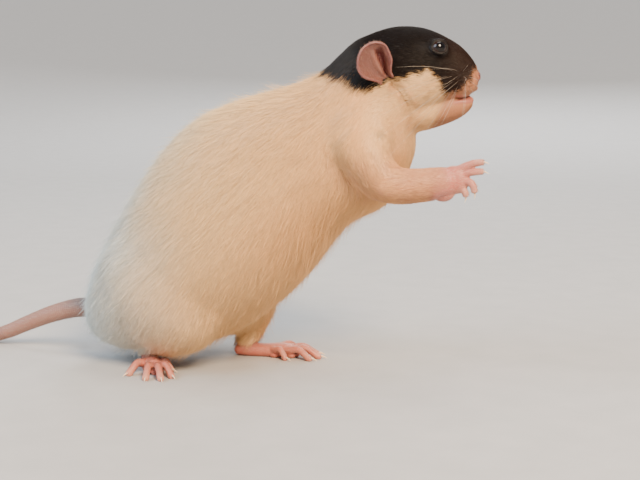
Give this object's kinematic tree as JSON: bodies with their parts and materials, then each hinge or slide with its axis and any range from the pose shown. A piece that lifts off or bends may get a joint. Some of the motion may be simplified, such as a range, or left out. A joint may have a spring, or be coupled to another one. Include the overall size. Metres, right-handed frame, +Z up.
{
  "type": "dumbo rat model",
  "caption": "Life-size still model of a dumbo rat standing on its hind feet and leaning forward with its forepaws held out, tail laid on the floor.",
  "frame": {"origin": "bottom centre of the whole model's box, on the floor", "axes": "+X the way the rat faces, +Y its left, +Z up"},
  "size_m": [0.2954, 0.0664, 0.126],
  "materials": {
    "white_coat": "short soft cream-white fur",
    "dark_coat": "short soft charcoal fur",
    "pink_skin": "bare pink skin",
    "tail_skin": "scaly tan-pink skin",
    "eye": "wet black"
  },
  "bodies": {
    "root": {"belly": "white_coat", "chest": "white_coat", "rump": "white_coat", "upper_arm_right": "white_coat", "upper_arm_left": "white_coat", "forearm_right": "white_coat", "forearm_left": "white_coat", "hind_leg_right": "white_coat", "hind_leg_left": "white_coat", "head": "dark_coat", "neck": "dark_coat", "ear_right": "pink_skin", "ear_left": "pink_skin", "hand_right": "pink_skin", "hand_left": "pink_skin", "hind_foot_right": "pink_skin", "hind_foot_left": "pink_skin", "tail_root": "tail_skin", "tail_middle": "tail_skin", "tail_tip": "tail_skin", "eye_right": "eye", "eye_left": "eye"}
  },
  "joints": []
}
